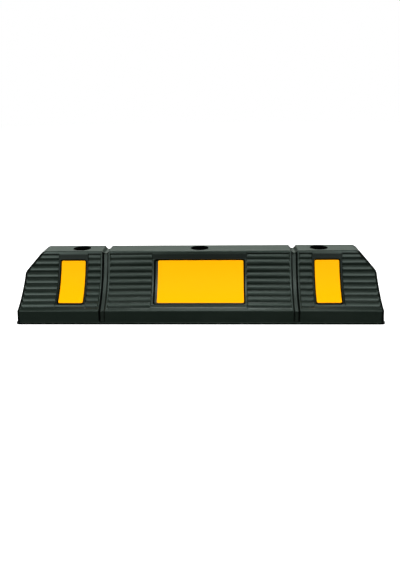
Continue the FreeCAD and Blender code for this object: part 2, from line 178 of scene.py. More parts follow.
def outline(reach):
    """The front outline at a reach: how far forward and up it is, and its outward normal."""
    if reach <= HEEL_REACH[0]:
        return (DEPTH / 2, SKIRT_HEIGHT + reach), (1.0, 0.0)
    if reach < HEEL_REACH[1]:
        share = (reach - HEEL_REACH[0]) / (HEEL_REACH[1] - HEEL_REACH[0])
        out, up = cos(HEEL_TURN * share), sin(HEEL_TURN * share)
        return (HEEL_CENTRE[0] + HEEL_RADIUS * out, HEEL_CENTRE[1] + HEEL_RADIUS * up), (out, up)
    if reach <= NOSE_REACH[0]:
        angle = HEEL_ANGLE - reach / FACE_RADIUS
        out, up = cos(angle), sin(angle)
        return (FACE_AXIS_OUT - FACE_RADIUS * out, FACE_AXIS_UP - FACE_RADIUS * up), (out, up)
    if reach < NOSE_REACH[1]:
        share = (reach - NOSE_REACH[0]) / (NOSE_REACH[1] - NOSE_REACH[0])
        angle = NOSE_TURN + (pi / 2 - NOSE_TURN) * share
        out, up = cos(angle), sin(angle)
        return (NOSE_CENTRE[0] + NOSE_RADIUS * out, NOSE_CENTRE[1] + NOSE_RADIUS * up), (out, up)
    return (CREST_REACH - reach, HEIGHT), (0.0, 1.0)


def inward_from(reach):
    """The direction, seen from outside, in which the grooves sink at a reach. It turns in a
    wider sweep than the edges do, so that a groove's floor doesn't fold where it passes them."""
    (out, up), normal = outline(reach)
    for centre, _, (start, stop) in (heel(SINK_RADIUS), nose(SINK_RADIUS)):
        if start < reach < stop:
            away = Vector((out - centre[0], up - centre[1])).normalized()
            return away.x, away.y
    return normal


# ---------------------------------------------------------------- the ends' outline
LEAN = atan2(END_LEAN, END_SHOULDER - SKIRT_HEIGHT)
SLOPE = atan2(END_TOP_INSET - END_LEAN, HEIGHT - END_SHOULDER)


def rounded_turn(corner, before, after, radius):
    """An arc that rounds a corner of the end's outline, between two slopes off the upright:
    its centre, and the heights at which it starts and stops."""
    run = radius * tan((after - before) / 2)
    start = (corner[0] + run * sin(before), corner[1] - run * cos(before))
    centre = (start[0] - radius * cos(before), start[1] - radius * sin(before))
    return centre, start[1], corner[1] + run * cos(after)


SHOULDER_ARC = rounded_turn((LENGTH / 2 - END_LEAN, END_SHOULDER), LEAN, SLOPE,
                            END_SHOULDER_RADIUS)
TOP_ARC = rounded_turn((LENGTH / 2 - END_TOP_INSET, HEIGHT), SLOPE, pi / 2, END_TOP_RADIUS)


def end_outline(up):
    """How far out the end is at a height, and its outward normal in X and Z."""
    if up <= SKIRT_HEIGHT:
        return LENGTH / 2, (1.0, 0.0)
    if up < SHOULDER_ARC[1]:
        return LENGTH / 2 - (up - SKIRT_HEIGHT) * tan(LEAN), (cos(LEAN), sin(LEAN))
    for (centre_x, centre_z), low, high in (SHOULDER_ARC, TOP_ARC):
        radius = END_SHOULDER_RADIUS if high < HEIGHT else END_TOP_RADIUS
        if low <= up <= high:
            angle = asin(min(1.0, (up - centre_z) / radius))
            return centre_x + radius * cos(angle), (cos(angle), sin(angle))
    drop = (up - END_SHOULDER) * tan(SLOPE)
    return LENGTH / 2 - END_LEAN - drop, (cos(SLOPE), sin(SLOPE))


# ---------------------------------------------------------------- stations of the lattice
def stations(keys, low, high, spacing, least):
    """Sorted stations from low to high: every key, then fillers where the gaps are wide."""
    kept = sorted({round(key, 7) for key in [*keys, low, high] if low <= key <= high})
    kept = [key for place, key in enumerate(kept) if place == 0 or key - kept[place - 1] > least]
    filled = []
    for start, stop in zip(kept, kept[1:]):
        parts = max(1, ceil((stop - start) / spacing - 1e-6))
        filled += [start + (stop - start) * part / parts for part in range(parts)]
    return [*filled, kept[-1]]


def around(place, *steps):
    """Stations on both sides of a place, in millimetres from it."""
    return [place + side * step * MM for step in steps for side in (-1, 1)]


COLUMN_SPACING = 8 * MM          # the widest gaps in the lattice, along X and up the face
ROW_SPACING = 2.6 * MM
CORNER_TURNS = 3                 # lattice steps in each half of a rounded upright edge
ACROSS_PARTS = 12                # lattice steps across the top, the base and each end


def column_stations():
    """Places along X, from the middle to where the upright edge starts to round."""
    keys = [0.0]
    for edge in (CENTRE_RECESS, *side_recess()):
        keys += around(edge, 0.0, 0.3, 0.9, 1.6, 1.95, 2.2, 2.45, 3.6)
    for field in RIB_FIELDS:
        for edge in field:
            keys += around(edge, 0.0, 0.3, 0.55, 0.8, 1.3)
    keys += around(GROOVE_OFFSET, 0.0, 1.3, 2.1, 2.3, 2.6, 3.2, 3.8, 4.4, 4.9, 5.2, 5.7, 6.5, 7.5)
    keys += [SQUARE_PART, LENGTH / 2 - END_RIM]
    return stations(keys, 0.0, LENGTH / 2 - END_EDGE_RADIUS, COLUMN_SPACING, 0.12 * MM)


def row_stations():
    """Reaches up the front, from the foot to where the nose meets the top."""
    foot = [up * MM - SKIRT_HEIGHT
            for up in (0.0, 0.25, 0.6, 2.3, 2.55, 2.75, 2.95, 3.15, 3.4, 3.8)]
    edges = []
    for start, stop in (HEEL_REACH, NOSE_REACH):
        edges += [start + (stop - start) * part / 7 for part in range(8)]
    for _, _, (start, stop) in (heel(SINK_RADIUS), nose(SINK_RADIUS)):
        edges += [start + (stop - start) * part / 5 for part in range(6)]
    ribs = []
    for rib in range(-1, RIB_COUNT):
        crest = LOWEST_VALLEY + (rib + 0.5) * RIB_PITCH
        steepest = asin(RIB_PITCH / 2 / RIB_RADIUS)
        turns = [steepest * part / 5 for part in range(-5 if rib >= 0 else 0, 6)]
        ribs += [crest + RIB_RADIUS * sin(turn) for turn in turns]
    band = [HIGHEST_VALLEY + TOP_BAND * part / 7 for part in range(8)]
    band += [HIGHEST_VALLEY + TOP_BAND + step * MM for step in (0.5, 1.0, 1.6)]
    walls = [*around(RECESS_FOOT, 0.3, 1.0, 1.95, 2.45), *around(RECESS_HEAD, 0.3, 1.0, 1.95, 2.45)]
    keys = [*foot, *edges, *ribs, *band, *walls]
    return stations(keys, -SKIRT_HEIGHT, NOSE_REACH[1], ROW_SPACING, 0.1 * MM)


def side_recess():
    """The two ends of a side recess along X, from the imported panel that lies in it."""
    low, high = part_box("front_right_reflector")
    return low.x - PANEL_GAP, high.x + PANEL_GAP


# ---------------------------------------------------------------- the plain body
def slanted(along, up):
    """Where a nominal place along X comes to at a height, on the sloping ends. The rim by the
    end keeps its width, and the stretch inside it takes up the slope."""
    if along <= SQUARE_PART:
        return along
    end = end_outline(up)[0]
    rim = LENGTH / 2 - END_RIM
    if along >= rim:
        return end - (LENGTH / 2 - along)
    return SQUARE_PART + (along - SQUARE_PART) * (end - END_RIM - SQUARE_PART) / (rim - SQUARE_PART)


def edge_point(reach, turn):
    """A point on the rounded upright edge between the face and the end. turn goes from 0, where
    the face's flat ends, to 1, where the end's begins. Gives place and normal, front right."""
    (out, up), (face_out, face_up) = outline(reach)
    end, (end_out, end_up) = end_outline(up)
    face = Vector((0.0, -face_out, face_up))
    cap = Vector((end_out, 0.0, end_up))
    likeness = face.dot(cap)
    ball = Vector((end, -out, up)) - (face + cap) * END_EDGE_RADIUS / (1 + likeness)
    normal = (face * cos(turn * pi / 2) + cap * sin(turn * pi / 2)).normalized()
    rolled = ball + normal * END_EDGE_RADIUS
    flat = Vector((end - END_EDGE_RADIUS * max(0.0, 1 - 2 * turn), -out, up))
    flat.y += END_EDGE_RADIUS * max(0.0, 2 * turn - 1)
    sharpness = max(0.0, min(1.0, (1 - likeness) * 2.5))
    return flat.lerp(rolled, sharpness), normal


class Lattice:
    """A closed mesh of quads whose points also know their place on the moulding."""

    def __init__(self):
        self.points, self.faces, self.known = [], [], {}
        self.along, self.reach, self.outward = [], [], []

    def point(self, place, along, reach, normal):
        key = tuple(round(axis, 6) for axis in place)
        if key not in self.known:
            self.known[key] = len(self.points)
            self.points.append(place)
            self.along.append(along)
            self.reach.append(reach)
            self.outward.append(normal)
        return self.known[key]

    def patch(self, grid, flip):
        """Quads over a grid of point numbers. Corners that fell together are left out."""
        for lower, upper in zip(grid, grid[1:]):
            for place in range(len(lower) - 1):
                ring = [lower[place], lower[place + 1], upper[place + 1], upper[place]]
                ring = list(dict.fromkeys(ring))
                if len(ring) > 2:
                    self.faces.append(ring[::-1] if flip else ring)

    def mesh(self, name):
        mesh = bpy.data.meshes.new(name)
        mesh.from_pydata(self.points, [], self.faces)
        for label, values in (("along", self.along), ("reach", self.reach)):
            mesh.attributes.new(label, "FLOAT", "POINT").data.foreach_set("value", values)
        flat = [axis for normal in self.outward for axis in normal]
        mesh.attributes.new("outward", "FLOAT_VECTOR", "POINT").data.foreach_set("vector", flat)
        return mesh


BELOW = -SKIRT_HEIGHT - 10 * MM  # the reach that the base is given, where nothing stands proud


def plain_body():
    """The body with smooth faces, as a box-shaped lattice: front, rear, top, base and ends."""
    lattice = Lattice()
    half = column_stations()
    columns = [-along for along in reversed(half[1:])] + half
    rows = row_stations()
    turns = [part / (2 * CORNER_TURNS) for part in range(1, 2 * CORNER_TURNS + 1)]
    face_turns, end_turns = turns[:CORNER_TURNS], turns[CORNER_TURNS:]

    def mirrored(place, normal, side, face):
        """side is -1 or 1 along X, and face is 1 on the front and -1 on the rear."""
        return (Vector((place.x * side, place.y * face, place.z)),
                Vector((normal.x * side, normal.y * face, normal.z)))

    def rounded(reach, turn, side, face):
        place, normal = mirrored(*edge_point(reach, turn), side, face)
        along = LENGTH / 2 - END_EDGE_RADIUS * (1 - turn)
        return lattice.point(place, along * side, reach, normal)

    def face_row(reach, face):
        (out, up), _ = outline(reach)
        normal_out, normal_up = inward_from(reach)
        row = [rounded(reach, turn, -1, face) for turn in reversed(face_turns)]
        for along in columns:
            across = slanted(abs(along), up) * (-1 if along < 0 else 1)
            row.append(lattice.point(Vector((across, -out * face, up)), along, reach,
                                     Vector((0.0, -normal_out * face, normal_up))))
        return row + [rounded(reach, turn, 1, face) for turn in face_turns]

    front = [face_row(reach, 1) for reach in rows]
    rear = [face_row(reach, -1) for reach in rows]
    lattice.patch(front, flip=False)
    lattice.patch(rear, flip=True)

    middle = ACROSS_PARTS - 2 * CORNER_TURNS
    ends = []
    for side, border in ((-1, 0), (1, -1)):
        grid = []
        for place, reach in enumerate(rows):
            start = edge_point(reach, 1.0)[0]
            up = start.z
            end, (normal_out, normal_up) = end_outline(up)
            row = [front[place][border]]
            row += [rounded(reach, turn, side, 1) for turn in end_turns]
            for part in range(1, middle):
                across = start.y * (1 - 2 * part / middle)
                row.append(lattice.point(Vector((start.x * side, across, up)), LENGTH / 2 * side,
                                         reach, Vector((normal_out * side, 0.0, normal_up))))
            row += [rounded(reach, turn, side, -1) for turn in reversed(end_turns)]
            row.append(rear[place][border])
            grid.append(row)
        lattice.patch(grid, flip=side < 0)
        ends.append(grid)

    for level, reach, facing in ((-1, CREST_REACH, 1), (0, BELOW, -1)):
        sheet = [front[level]]
        for part in range(1, ACROSS_PARTS):
            row = [ends[0][level][part]]
            for place in range(1, len(front[level]) - 1):
                near, far = (lattice.points[side[level][place]] for side in (front, rear))
                here = near.lerp(far, part / ACROSS_PARTS)
                along = lattice.along[front[level][place]]
                shift = abs(here.y) if level else 0.0
                row.append(lattice.point(here, along, reach - shift, Vector((0, 0, facing))))
            sheet.append(row + [ends[1][level][part]])
        sheet.append(rear[level])
        lattice.patch(sheet, flip=level == 0)
    return lattice.mesh("rubber_body")


# ---------------------------------------------------------------- node trees
class Value:
    """A number in a node tree that can be reckoned with as in a formula."""

    def __init__(self, tree, socket):
        self.tree, self.socket = tree, socket

    def math(self, operation, *others):
        made = node(self.tree, "ShaderNodeMath", operation=operation)
        for place, item in enumerate((self, *others)):
            feed(self.tree, item, made.inputs[place])
        return Value(self.tree, made.outputs[0])

    def __add__(self, other):
        return self.math("ADD", other)

    def __sub__(self, other):
        return self.math("SUBTRACT", other)

    def __mul__(self, other):
        return self.math("MULTIPLY", other)

    def __truediv__(self, other):
        return self.math("DIVIDE", other)

    def __rsub__(self, other):
        return self * -1.0 + other

    __radd__ = __add__

    def __abs__(self):
        return self.math("ABSOLUTE")

    def least(self, other):
        return self.math("MINIMUM", other)

    def most(self, other):
        return self.math("MAXIMUM", other)

    def ramp(self, start, stop):
        """Smoothly from 0 at start to 1 at stop, which may be the lower of the two."""
        made = node(self.tree, "ShaderNodeMapRange",
                    {"Value": self, "From Min": start, "From Max": stop},
                    interpolation_type="SMOOTHSTEP")
        return Value(self.tree, made.outputs[0])


def feed(tree, item, socket):
    """Gives an input socket a value, a socket or a plain number."""
    if isinstance(item, Value):
        item = item.socket
    if isinstance(item, bpy.types.NodeSocket):
        tree.links.new(item, socket)
    else:
        socket.default_value = item


def node(tree, kind, inputs=None, **settings):
    """A node with its settings made and its named inputs fed."""
    made = tree.nodes.new(kind)
    for name, setting in settings.items():
        setattr(made, name, setting)
    for name, item in (inputs or {}).items():
        feed(tree, item, made.inputs[name])
    return made


SOCKETS = {float: "NodeSocketFloat", bpy.types.Object: "NodeSocketObject",
           bpy.types.Material: "NodeSocketMaterial"}


def geometry_tree(name, inputs):
    """A tree with those named inputs, and its group input node."""
    tree = bpy.data.node_groups.new(name, "GeometryNodeTree")
    tree.interface.new_socket("Geometry", in_out="INPUT", socket_type="NodeSocketGeometry")
    for label, item in inputs.items():
        kind = next(socket for python, socket in SOCKETS.items() if isinstance(item, python))
        tree.interface.new_socket(label, in_out="INPUT", socket_type=kind)
    tree.interface.new_socket("Geometry", in_out="OUTPUT", socket_type="NodeSocketGeometry")
    return tree, tree.nodes.new("NodeGroupInput").outputs


def end_tree(tree, geometry, given):
    """Ends a tree in plain geometry with its material set."""
    plain = node(tree, "GeometryNodeRealizeInstances", {"Geometry": geometry})
    painted = node(tree, "GeometryNodeSetMaterial",
                   {"Geometry": plain.outputs[0], "Material": given["Material"]})
    feed(tree, painted.outputs[0], tree.nodes.new("NodeGroupOutput").inputs[0])


def shape_with(thing, tree, inputs):
    """Runs a geometry tree on an object and keeps the result as its plain mesh."""
    modifier = thing.modifiers.new(tree.name, "NODES")
    modifier.node_group = tree
    for socket in tree.interface.items_tree:
        if socket.name in inputs:
            modifier[socket.identifier] = inputs[socket.name]
    settle(thing)


def settle(thing):
    """Applies an object's modifiers."""
    bpy.context.view_layer.update()
    graph = bpy.context.evaluated_depsgraph_get()
    mesh = bpy.data.meshes.new_from_object(thing.evaluated_get(graph))
    thing.modifiers.clear()
    old, thing.data = thing.data, mesh
    bpy.data.meshes.remove(old)
    mesh.name = thing.name


def shade(mesh, crease):
    """Smooth shading, but for edges that turn by more than the crease in degrees."""
    mesh.shade_smooth()
    mesh.set_sharp_from_angle(angle=radians(crease))


def add(name, data):
    """A new object in the scene, with a mesh, a light or a camera as its data."""
    thing = bpy.data.objects.new(name, data)
    bpy.context.scene.collection.objects.link(thing)
    return thing


def read(tree, label):
    """A number stored on the mesh under a name."""
    found = node(tree, "GeometryNodeInputNamedAttribute", {"Name": label})
    return Value(tree, found.outputs["Attribute"])


def named_sizes(tree, given, inputs):
    """The inputs of a tree that are numbers, by their names."""
    return {name: Value(tree, given[name]) for name, item in inputs.items()
            if isinstance(item, float)}


# ---------------------------------------------------------------- the moulded relief
def rib_depth(distance, radius, inset):
    """How far a rib's surface lies under the face, at a distance from its crest."""
    return inset + radius - (radius * radius - distance * distance).math("SQRT")


def past(place, edge, fade):
    """1 past an edge and 0 short of it, with a soft step of twice the fade between them."""
    return place.ramp(edge - fade, edge + fade)


def short_of(place, edge, fade):
    return place.ramp(edge + fade, edge - fade)


def within(place, low, high, fade):
    return past(place, low, fade) * short_of(place, high, fade)


def from_rounded_box(beyond_across, beyond_up, corner):
    """The distance from a box with rounded corners, below 0 inside."""
    across, up = beyond_across + corner, beyond_up + corner
    out_across, out_up = across.most(0.0), up.most(0.0)
    outside = (out_across * out_across + out_up * out_up).math("SQRT")
    return outside + across.most(up).least(0.0) - corner


def relief_inputs(material, bores, cells):
    low, high = side_recess()
    return {
        "Rib Pitch": RIB_PITCH, "Rib Radius": RIB_RADIUS, "Rib Inset": RIB_INSET,
        "Lowest Valley": LOWEST_VALLEY, "Highest Valley": HIGHEST_VALLEY,
        "Top Band": TOP_BAND, "Top Band Inset": TOP_BAND_INSET, "Rib Fade": RIB_FADE,
        "Recess Depth": RECESS_DEPTH, "Recess Corner": RECESS_CORNER,
        "Recess Wall": RECESS_WALL,
        "Channel Width": CHANNEL_WIDTH, "Channel Depth": CHANNEL_DEPTH,
        "Recess Foot": RECESS_FOOT, "Recess Head": RECESS_HEAD, "Centre Recess": CENTRE_RECESS,
        "Side Recess Middle": (low + high) / 2, "Side Recess": (high - low) / 2,
        "Groove Offset": GROOVE_OFFSET, "Groove Floor": GROOVE_FLOOR,
        "Groove Mouth": GROOVE_MOUTH, "Groove Depth": GROOVE_DEPTH,
        "Groove Top Floor": GROOVE_TOP_FLOOR, "Groove Top Mouth": GROOVE_TOP_MOUTH,
        "Flange Width": FLANGE_WIDTH, "Flange Top": FLANGE_THICKNESS - SKIRT_HEIGHT,
        "Undercut": UNDERCUT, "Skirt Draft": SKIRT_DRAFT, "Unevenness": UNEVENNESS,
        "Bores": bores, "Cells": cells, "Material": material,
    }


def rib_relief(sizes, across, reach):
    """How deep the ribs and the narrow band above them lie, in the fields that have them."""
    pitch, radius = sizes["Rib Pitch"], sizes["Rib Radius"]
    lowest, highest = sizes["Lowest Valley"], sizes["Highest Valley"]
    turn = (reach - lowest) / pitch
    ribs = rib_depth((turn - turn.math("FLOOR") - 0.5) * pitch, radius, sizes["Rib Inset"])
    band_half = sizes["Top Band"] * 0.5
    band_place = abs(reach - highest - band_half).least(band_half)
    band = rib_depth(band_place, radius, sizes["Top Band Inset"])
    depth = ribs + (band - ribs) * reach.math("GREATER_THAN", highest)

    fade = sizes["Rib Fade"]
    beside = sum_of(within(across, low, high, fade) for low, high in RIB_FIELDS)
    under = (short_of(across, RIB_FIELDS[0][1], fade)
             + within(across, RIB_FIELDS[1][0], RIB_FIELDS[2][1], fade))
    sill = short_of(reach, lowest + SILL_HEIGHT, 0.5 * MM)
    foot = lowest - pitch * 0.5
    head = highest + sizes["Top Band"]
    return (depth * beside.most(under * sill * SILL_SHARE)
            * past(reach, foot - 0.3 * MM, 0.9 * MM)
            * short_of(reach, head + 0.9 * MM, 0.7 * MM))


def recess_relief(sizes, across, reach):
    """The recesses' share of the surface, their depth, and the channel round their floors."""
    beyond_up = (abs(reach - (sizes["Recess Foot"] + sizes["Recess Head"]) * 0.5)
                 - (sizes["Recess Head"] - sizes["Recess Foot"]) * 0.5)
    corner = sizes["Recess Corner"]
    centre = from_rounded_box(across - sizes["Centre Recess"], beyond_up, corner)
    sides = from_rounded_box(abs(across - sizes["Side Recess Middle"]) - sizes["Side Recess"],
                             beyond_up, corner)
    edge = centre.least(sides)
    recess = short_of(edge, 0.0, sizes["Recess Wall"])
    channel = recess * past(edge, sizes["Channel Width"] * -1.0, 0.25 * MM)
    return recess, sizes["Recess Depth"] + sizes["Channel Depth"] * channel, channel


def groove_relief(sizes, across, reach):
    """How much of their full depth the grooves have, and how far a place is on the top."""
    on_top = past(reach, FACE_LENGTH - 1 * MM, 1.5 * MM)
    mouth = sizes["Groove Mouth"] + (sizes["Groove Top Mouth"] - sizes["Groove Mouth"]) * on_top
    bottom = sizes["Groove Floor"] + (sizes["Groove Top Floor"] - sizes["Groove Floor"]) * on_top
    groove = abs(across - sizes["Groove Offset"]).ramp(mouth * 0.5, bottom * 0.5)
    return groove * past(reach, sizes["Flange Top"] + 0.45 * MM, 0.35 * MM), on_top


def painted_shade_relief(sizes, across, reach, channel, groove, on_top):
    """Where shade is painted on the rubber, which is made rougher there too: the channels, the
    grooves' walls, the flange's front, the plain frames round the panels, and a line along each
    upright edge."""
    groove_walls = (groove * (1.0 - groove) * 6.0).least(1.0) * (1.0 - on_top)
    flange_front = short_of(reach, sizes["Flange Top"] - 0.6 * MM, 0.2 * MM)

    fade = sizes["Rib Fade"]
    head = sizes["Highest Valley"] + sizes["Top Band"] + 0.4 * MM
    below_head = short_of(reach, head, 0.8 * MM)
    beside_panel = within(across, RIB_FIELDS[1][1], RIB_FIELDS[2][0], fade)
    bare = short_of(across, RIB_FIELDS[0][0], fade) + beside_panel
    header = bare * below_head * past(reach, sizes["Recess Head"] + 0.4 * MM, 0.4 * MM)
    sides = beside_panel * below_head * past(reach, sizes["Recess Foot"] + 0.5 * MM, 0.5 * MM)
    ends = (past(across, LENGTH / 2 - 3.8 * MM, 0.6 * MM)
            * short_of(across, LENGTH / 2 - 1.15 * MM, 0.45 * MM)
            * short_of(reach, FACE_LENGTH, 1 * MM))
    matt = channel.most(groove_walls).most(flange_front)
    return matt.most(ends * PAINTED_SHADE_ENDS).most(header * PAINTED_SHADE_HEADER).most(sides * PAINTED_SHADE_SIDES)


def proud_relief(sizes, reach):
    """How far the skirt's draft and the flange stand out."""
    lip = short_of(reach, sizes["Flange Top"] - 0.15 * MM, 0.35 * MM)
    undercut = sizes["Undercut"] * short_of(reach, -SKIRT_HEIGHT + 0.7 * MM, 0.7 * MM)
    draft = sizes["Skirt Draft"] * (reach / -SKIRT_HEIGHT).most(0.0).least(1.0)
    return ((draft + (sizes["Flange Width"] - undercut - draft) * lip)
            * reach.ramp(BELOW, -SKIRT_HEIGHT - 1 * MM))


def relief_tree(inputs):
    """Ribs, recesses, grooves and flange as steps off the plain body's surface, and then the
    holes and the hollow underside cut out of it."""
    tree, given = geometry_tree("moulded relief", inputs)
    sizes = named_sizes(tree, given, inputs)
    across, reach = abs(read(tree, "along")), read(tree, "reach")
    depth = rib_relief(sizes, across, reach)
    recess, floor_depth, channel = recess_relief(sizes, across, reach)
    depth = depth + (floor_depth - depth) * recess
    groove, on_top = groove_relief(sizes, across, reach)
    depth = depth.most(sizes["Groove Depth"] * groove)
    matt = painted_shade_relief(sizes, across, reach, channel, groove, on_top)
    waves = node(tree, "ShaderNodeTexNoise", {"Scale": 30.0, "Detail": 1.0})
    uneven = (Value(tree, waves.outputs[0]) * sizes["Unevenness"]
              * past(reach, sizes["Flange Top"] + 1 * MM, 1 * MM))

    outward = node(tree, "GeometryNodeInputNamedAttribute", {"Name": "outward"},
                   data_type="FLOAT_VECTOR")
    step = node(tree, "ShaderNodeVectorMath", operation="SCALE")
    feed(tree, outward.outputs["Attribute"], step.inputs[0])
    feed(tree, proud_relief(sizes, reach) - depth - uneven, step.inputs["Scale"])
    moved = node(tree, "GeometryNodeSetPosition",
                 {"Geometry": given["Geometry"], "Offset": step.outputs[0]})
    hollow = node(tree, "GeometryNodeStoreNamedAttribute",
                  {"Geometry": moved.outputs[0], "Name": "hollow", "Value": depth / (2.4 * MM)})
    # The painted shade mask, stored on the corners of the faces, so that it stops sharply at the
    # rim of a hole.
    shade_stored = node(tree, "GeometryNodeStoreNamedAttribute",
                  {"Geometry": hollow.outputs[0], "Name": "matt", "Value": matt},
                  domain="CORNER")
    cut = node(tree, "GeometryNodeMeshBoolean", {"Mesh 1": shade_stored.outputs[0]},
               operation="DIFFERENCE", solver="MANIFOLD")
    for label in ("Bores", "Cells"):
        cutter = node(tree, "GeometryNodeObjectInfo", {"Object": given[label]})
        tree.links.new(cutter.outputs["Geometry"], cut.inputs["Mesh 2"])
    rims = node(tree, "GeometryNodeStoreNamedAttribute",
                {"Geometry": cut.outputs[0], "Name": "bevel_weight_edge",
                 "Value": cut.outputs["Intersecting Edges"]},
                domain="EDGE")
    end_tree(tree, rims.outputs[0], given)
    return tree


def sum_of(values):
    total = None
    for value in values:
        total = value if total is None else total + value
    return total


# ---------------------------------------------------------------- cutters
def turned(profile, around_parts, places):
    """Closed rings turned about upright axes. The profile is (radius, height) from the foot up,
    and starts and ends on the axis where its radius is 0."""
    bm = bmesh.new()
    for across in places:
        rings = []
        for radius, up in profile:
            count = around_parts if radius else 1
            rings.append([bm.verts.new((across + radius * cos(2 * pi * part / around_parts),
                                        radius * sin(2 * pi * part / around_parts), up))
                          for part in range(count)])
        for lower, upper in zip(rings, rings[1:]):
            for part in range(around_parts):
                ring = [lower[part % len(lower)], lower[(part + 1) % len(lower)],
                        upper[(part + 1) % len(upper)], upper[part % len(upper)]]
                bm.faces.new(list(dict.fromkeys(ring)))
    return bm


def to_mesh(bm, name):
    mesh = bpy.data.meshes.new(name)
    bm.to_mesh(mesh)
    bm.free()
    return mesh


def bore_cutter():
    """The three stepped anchor holes, with shade painted on their walls inside."""
    mounts = {mount["name"]: mount for mount in frame["record"]["mounts"]}
    heads = [mount for name, mount in mounts.items() if name.endswith("head_recess")]
    head = heads[0]["dims"]["r_mm"] * MM
    shank = mounts["centre_anchor_bore"]["dims"]["r_mm"] * MM
    step = heads[0]["pos_m"][2] - heads[0]["dims"]["length_mm"] * MM / 2
    washer_low, washer_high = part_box("centre_anchor_washer")
    seat = washer_high.x + WASHER_CLEARANCE
    profile = [(0, -OVERCUT), (shank, -OVERCUT), (shank, washer_low.z), (seat, washer_low.z),
               (seat, step), (head, step), (head, HEIGHT + OVERCUT), (0, HEIGHT + OVERCUT)]
    bores = to_mesh(turned(profile, 72, [mount["pos_m"][0] for mount in heads]), "bores")
    # Painted shade over every face of the bores, where they cut the body.
    bores.attributes.new("matt", "FLOAT", "CORNER").data.foreach_set(
        "value", [1.0] * len(bores.loops))
    return bores


CELL_PLACES = (1, 2, 3, 5)       # quarters of the anchor spacing, clear of the anchors
CELL_HALF = 19 * MM              # half its length along the stop
# Its section, in millimetres out from the middle and up.
CELL_SECTION = ((4.5, -5.0), (57.0, -5.0), (57.0, 9.0), (27.0, 46.0), (10.5, 46.0), (4.5, 40.0))


def cell_cutter():
    """The open cells of the underside, front and rear of the middle web."""
    spacing = max(mount["pos_m"][0] for mount in frame["record"]["mounts"])
    bm = bmesh.new()
    for place in CELL_PLACES:
        for side in (-1, 1):
            middle = side * place * spacing / 4
            for face in (-1, 1):
                ends = [[bm.verts.new((middle + end * CELL_HALF, face * out * MM, up * MM))
                         for out, up in CELL_SECTION] for end in (-1, 1)]
                bm.faces.new(ends[0])
                bm.faces.new(ends[1])
                for part, (near, far) in enumerate(zip(*ends)):
                    beside = (part + 1) % len(CELL_SECTION)
                    bm.faces.new((near, far, ends[1][beside], ends[0][beside]))
    bmesh.ops.recalc_face_normals(bm, faces=bm.faces)
    return to_mesh(bm, "cells")


def rubber_body(material):
    body = add("moulded_body", plain_body())
    bores, cells = add("bore_cutter", bore_cutter()), add("cell_cutter", cell_cutter())
    inputs = relief_inputs(material, bores, cells)
    shape_with(body, relief_tree(inputs), inputs)
    for cutter in (bores, cells):
        bpy.data.objects.remove(cutter)
    body.data.materials.pop(index=0)
    rims = body.modifiers.new("rims", "BEVEL")
    rims.limit_method = "WEIGHT"
    rims.width = HOLE_RIM
    rims.segments = 2
    settle(body)
    shade(body.data, 38)
    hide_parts("rubber_body")
    return body


# ---------------------------------------------------------------- reflective panels
def panel_blank(low_x, high_x, foot, head):
    """A flat panel before it is laid: X along the stop, Y up the face and Z off the recess's
    floor. Its corners are rounded and its top rolls over at the edges."""
    edge_steps = [step * MM for step in (0.0, 0.06, 0.18, 0.4, 0.8, 1.4, 2.2)]
    radius = PANEL_CORNER

    def lines(low, high):
        keys = [low + step for step in edge_steps] + [high - step for step in edge_steps]
        return stations([*keys, low + radius, high - radius], low, high, 4 * MM, 0.01 * MM)

    def inset(up):
        rise = min(radius, max(0.0, radius - min(up - foot, head - up)))
        return radius - sqrt(radius ** 2 - rise ** 2)

    def lift(across, up):
        pull = inset(up)
        near = min(across - low_x - pull, high_x - pull - across, up - foot, head - up)
        share = 1 - min(1.0, max(0.0, near) / PANEL_ROLL)
        return PANEL_THICKNESS * (0.35 + 0.65 * sqrt(1 - share ** 2))

    lattice = Lattice()
    layers = []
    for top in (True, False):
        grid = []
        for up in lines(foot, head):
            pull = inset(up)
            row = []
            for nominal in lines(low_x, high_x):
                share = (nominal - low_x) / (high_x - low_x)
                across = low_x + pull + share * (high_x - low_x - 2 * pull)
                height = lift(across, up) if top else 0.0
                row.append(lattice.point(Vector((across, up, height)), 0.0, 0.0, Vector()))
            grid.append(row)
        layers.append(grid)
        lattice.patch(grid, flip=not top)
    loops = [grid[0] + [row[-1] for row in grid[1:]] + grid[-1][-2::-1]
             + [row[0] for row in grid[-2:0:-1]] for grid in layers]
    count = len(loops[0])
    for part in range(count):
        beside = (part + 1) % count
        lattice.faces.append([loops[1][part], loops[1][beside], loops[0][beside], loops[0][part]])
    return lattice.mesh("panel")


def laid_inputs(material, turn):
    return {"Face Radius": FACE_RADIUS, "Axis Out": FACE_AXIS_OUT, "Axis Up": FACE_AXIS_UP,
            "Heel Angle": HEEL_ANGLE, "Recess Depth": RECESS_DEPTH, "Turn": turn,
            "Material": material}


def laid_tree(inputs):
    """Bends a flat panel onto the floor of its recess, on the face that it is turned to."""
    tree, given = geometry_tree("laid on the face", inputs)
    sizes = named_sizes(tree, given, inputs)
    spot = node(tree, "ShaderNodeSeparateXYZ",
                {"Vector": tree.nodes.new("GeometryNodeInputPosition").outputs[0]})
    across, reach, lift = (Value(tree, socket) for socket in spot.outputs)
    radius = sizes["Face Radius"] + sizes["Recess Depth"] - lift
    angle = sizes["Heel Angle"] - reach / sizes["Face Radius"]
    out = sizes["Axis Out"] - radius * angle.math("COSINE")
    up = sizes["Axis Up"] - radius * angle.math("SINE")
    bent = node(tree, "ShaderNodeCombineXYZ", {"X": across, "Y": out * -1.0, "Z": up})
    facing = node(tree, "ShaderNodeVectorRotate",
                  {"Vector": bent.outputs[0], "Angle": given["Turn"]}, rotation_type="Z_AXIS")
    laid = node(tree, "GeometryNodeSetPosition",
                {"Geometry": given["Geometry"], "Position": facing.outputs[0]})
    end_tree(tree, laid.outputs[0], given)
    return tree


def face_reach(up, radius):
    """The reach of a point at a height, on an arc about the face's axis."""
    return FACE_RADIUS * (HEEL_ANGLE - asin((FACE_AXIS_UP - up) / radius))


